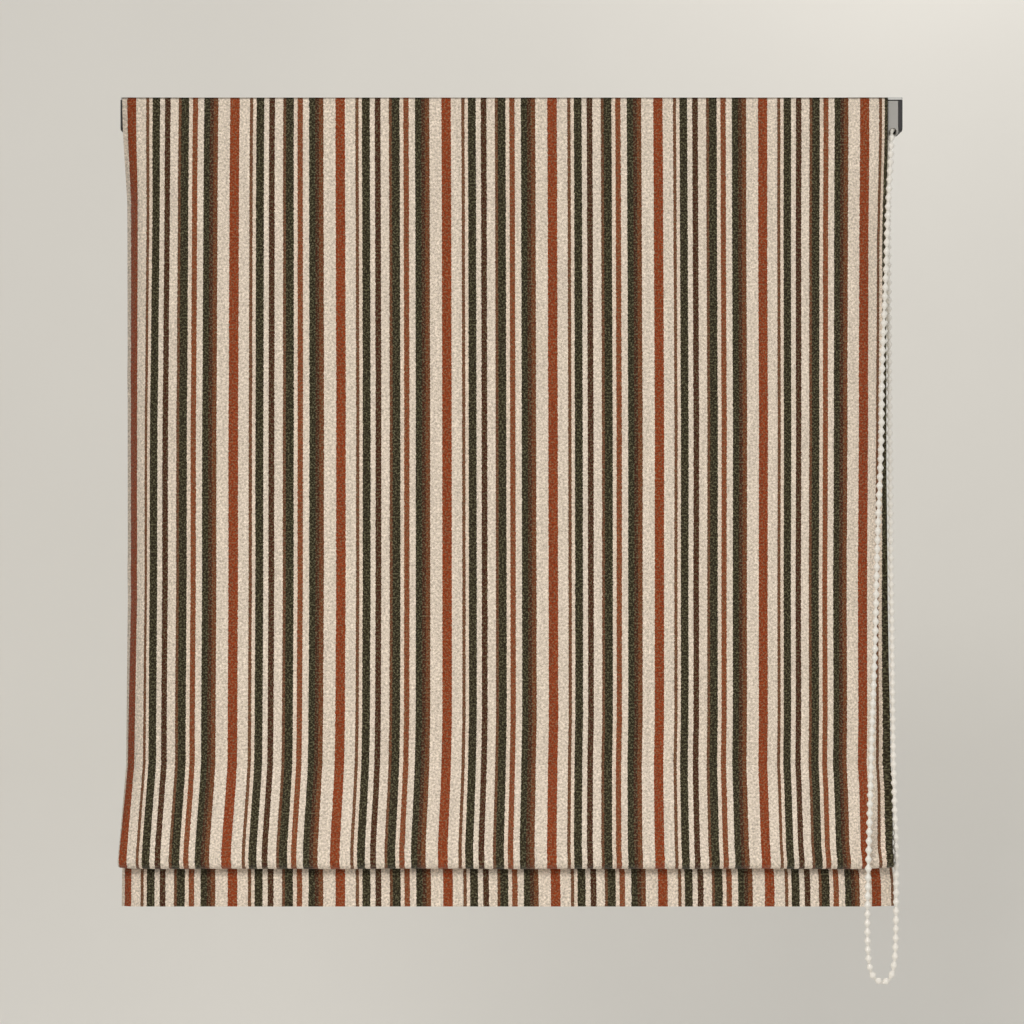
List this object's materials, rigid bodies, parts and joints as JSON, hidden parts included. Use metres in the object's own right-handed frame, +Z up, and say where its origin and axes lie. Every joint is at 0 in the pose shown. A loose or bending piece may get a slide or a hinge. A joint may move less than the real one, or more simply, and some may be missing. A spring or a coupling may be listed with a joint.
{
  "type": "roman blind",
  "caption": "Striped cloth roman blind on a headrail, with a fold at its foot and an endless bead chain that winds its lift cords on spools.",
  "frame": {"origin": "centre of the four screw holes on the top face of the head brackets", "axes": "+X to the right as seen from the room, -Y into the room, +Z up"},
  "size_m": [0.52, 0.0546, 0.588],
  "materials": {
    "painted_steel": "powder-coated pale grey, pressed steel",
    "rail_white": "white powder-coated extrusion",
    "dark_plastic": "dark moulded plastic, fine grain",
    "housing_grey": "light grey moulded plastic, satin",
    "wheel_plastic": "natural acetal, satin",
    "spool_plastic": "white moulded plastic",
    "shaft_metal": "drawn aluminium",
    "steel_bright": "zinc-plated steel",
    "striped_cloth": "coarse woven cloth, cream with rust, charcoal and brown stripes",
    "lining_cloth": "plain cotton sateen lining",
    "tape": "white hook-and-loop tape",
    "cord": "braided polyester cord",
    "rod_fibre": "white glass-fibre rod",
    "ring_plastic": "clear white ring",
    "bar_metal": "flat aluminium bar",
    "chain_plastic": "white moulded beads on a polyester thread"
  },
  "bodies": {
    "head": {"head_bracket_left": "painted_steel", "head_bracket_right": "painted_steel", "headrail": "rail_white", "end_cap_left": "dark_plastic", "end_plate_right": "dark_plastic", "control_housing_inner": "housing_grey", "control_housing_cover": "housing_grey", "housing_screws": "steel_bright", "clutch_post": "wheel_plastic", "wrap_spring": "steel_bright", "hook_strip": "tape", "loop_strip": "tape", "face_cloth": "striped_cloth", "lining": "lining_cloth", "chain_thread": "chain_plastic", "chain_beads": "chain_plastic", "spool_cradle_left": "spool_plastic", "spool_cradle_middle": "spool_plastic", "spool_cradle_right": "spool_plastic", "lift_cord_left": "cord", "lift_cord_middle": "cord", "lift_cord_right": "cord"},
    "drive": {"chain_wheel": "wheel_plastic", "drive_coupler": "dark_plastic", "drive_shaft": "shaft_metal", "shaft_bush": "spool_plastic", "cord_spool_left": "spool_plastic", "cord_spool_middle": "spool_plastic", "cord_spool_right": "spool_plastic", "cord_turns_left": "cord", "cord_turns_middle": "cord", "cord_turns_right": "cord"},
    "rod_1": {"batten_rod_1": "rod_fibre", "rod_pocket_1": "lining_cloth", "lift_rings_1": "ring_plastic"},
    "rod_2": {"batten_rod_2": "rod_fibre", "rod_pocket_2": "lining_cloth", "lift_rings_2": "ring_plastic"},
    "rod_3": {"batten_rod_3": "rod_fibre", "rod_pocket_3": "lining_cloth", "lift_rings_3": "ring_plastic"},
    "rod_4": {"batten_rod_4": "rod_fibre", "rod_pocket_4": "lining_cloth", "lift_rings_4": "ring_plastic", "cord_toggles": "spool_plastic", "hem_pocket": "lining_cloth", "bottom_bar": "bar_metal", "bottom_bar_caps": "dark_plastic"}
  },
  "joints": [
    {"name": "lift", "type": "slide", "parent": "head", "child": "rod_3", "axis": [0, 0, 1], "range_m": [0, 0.386], "deforming": ["face_cloth", "lining", "lift_cord_left", "lift_cord_middle", "lift_cord_right"]},
    {"name": "lift_2", "type": "slide", "parent": "head", "child": "rod_2", "axis": [0, 0, 1], "range_m": [0, 0.2662]},
    {"name": "lift_1", "type": "slide", "parent": "head", "child": "rod_1", "axis": [0, 0, 1], "range_m": [0, 0.1459]},
    {"name": "foot", "type": "slide", "parent": "rod_3", "child": "rod_4", "axis": [0, 0, 1], "range_m": [-0.1205, 0]},
    {"name": "wheel", "type": "hinge", "parent": "head", "child": "drive", "pos_m": [0, 0, -0.0139], "axis": [1, 0, 0], "range_deg": [0, 3360], "deforming": ["chain_thread", "chain_beads"]}
  ],
  "couplings": [
    {"joint": "lift_2", "follows": "lift", "ratio": 0.6883},
    {"joint": "lift_1", "follows": "lift", "ratio": 0.3766},
    {"joint": "wheel", "follows": "lift", "rad_per_m": 151.51}
  ]
}
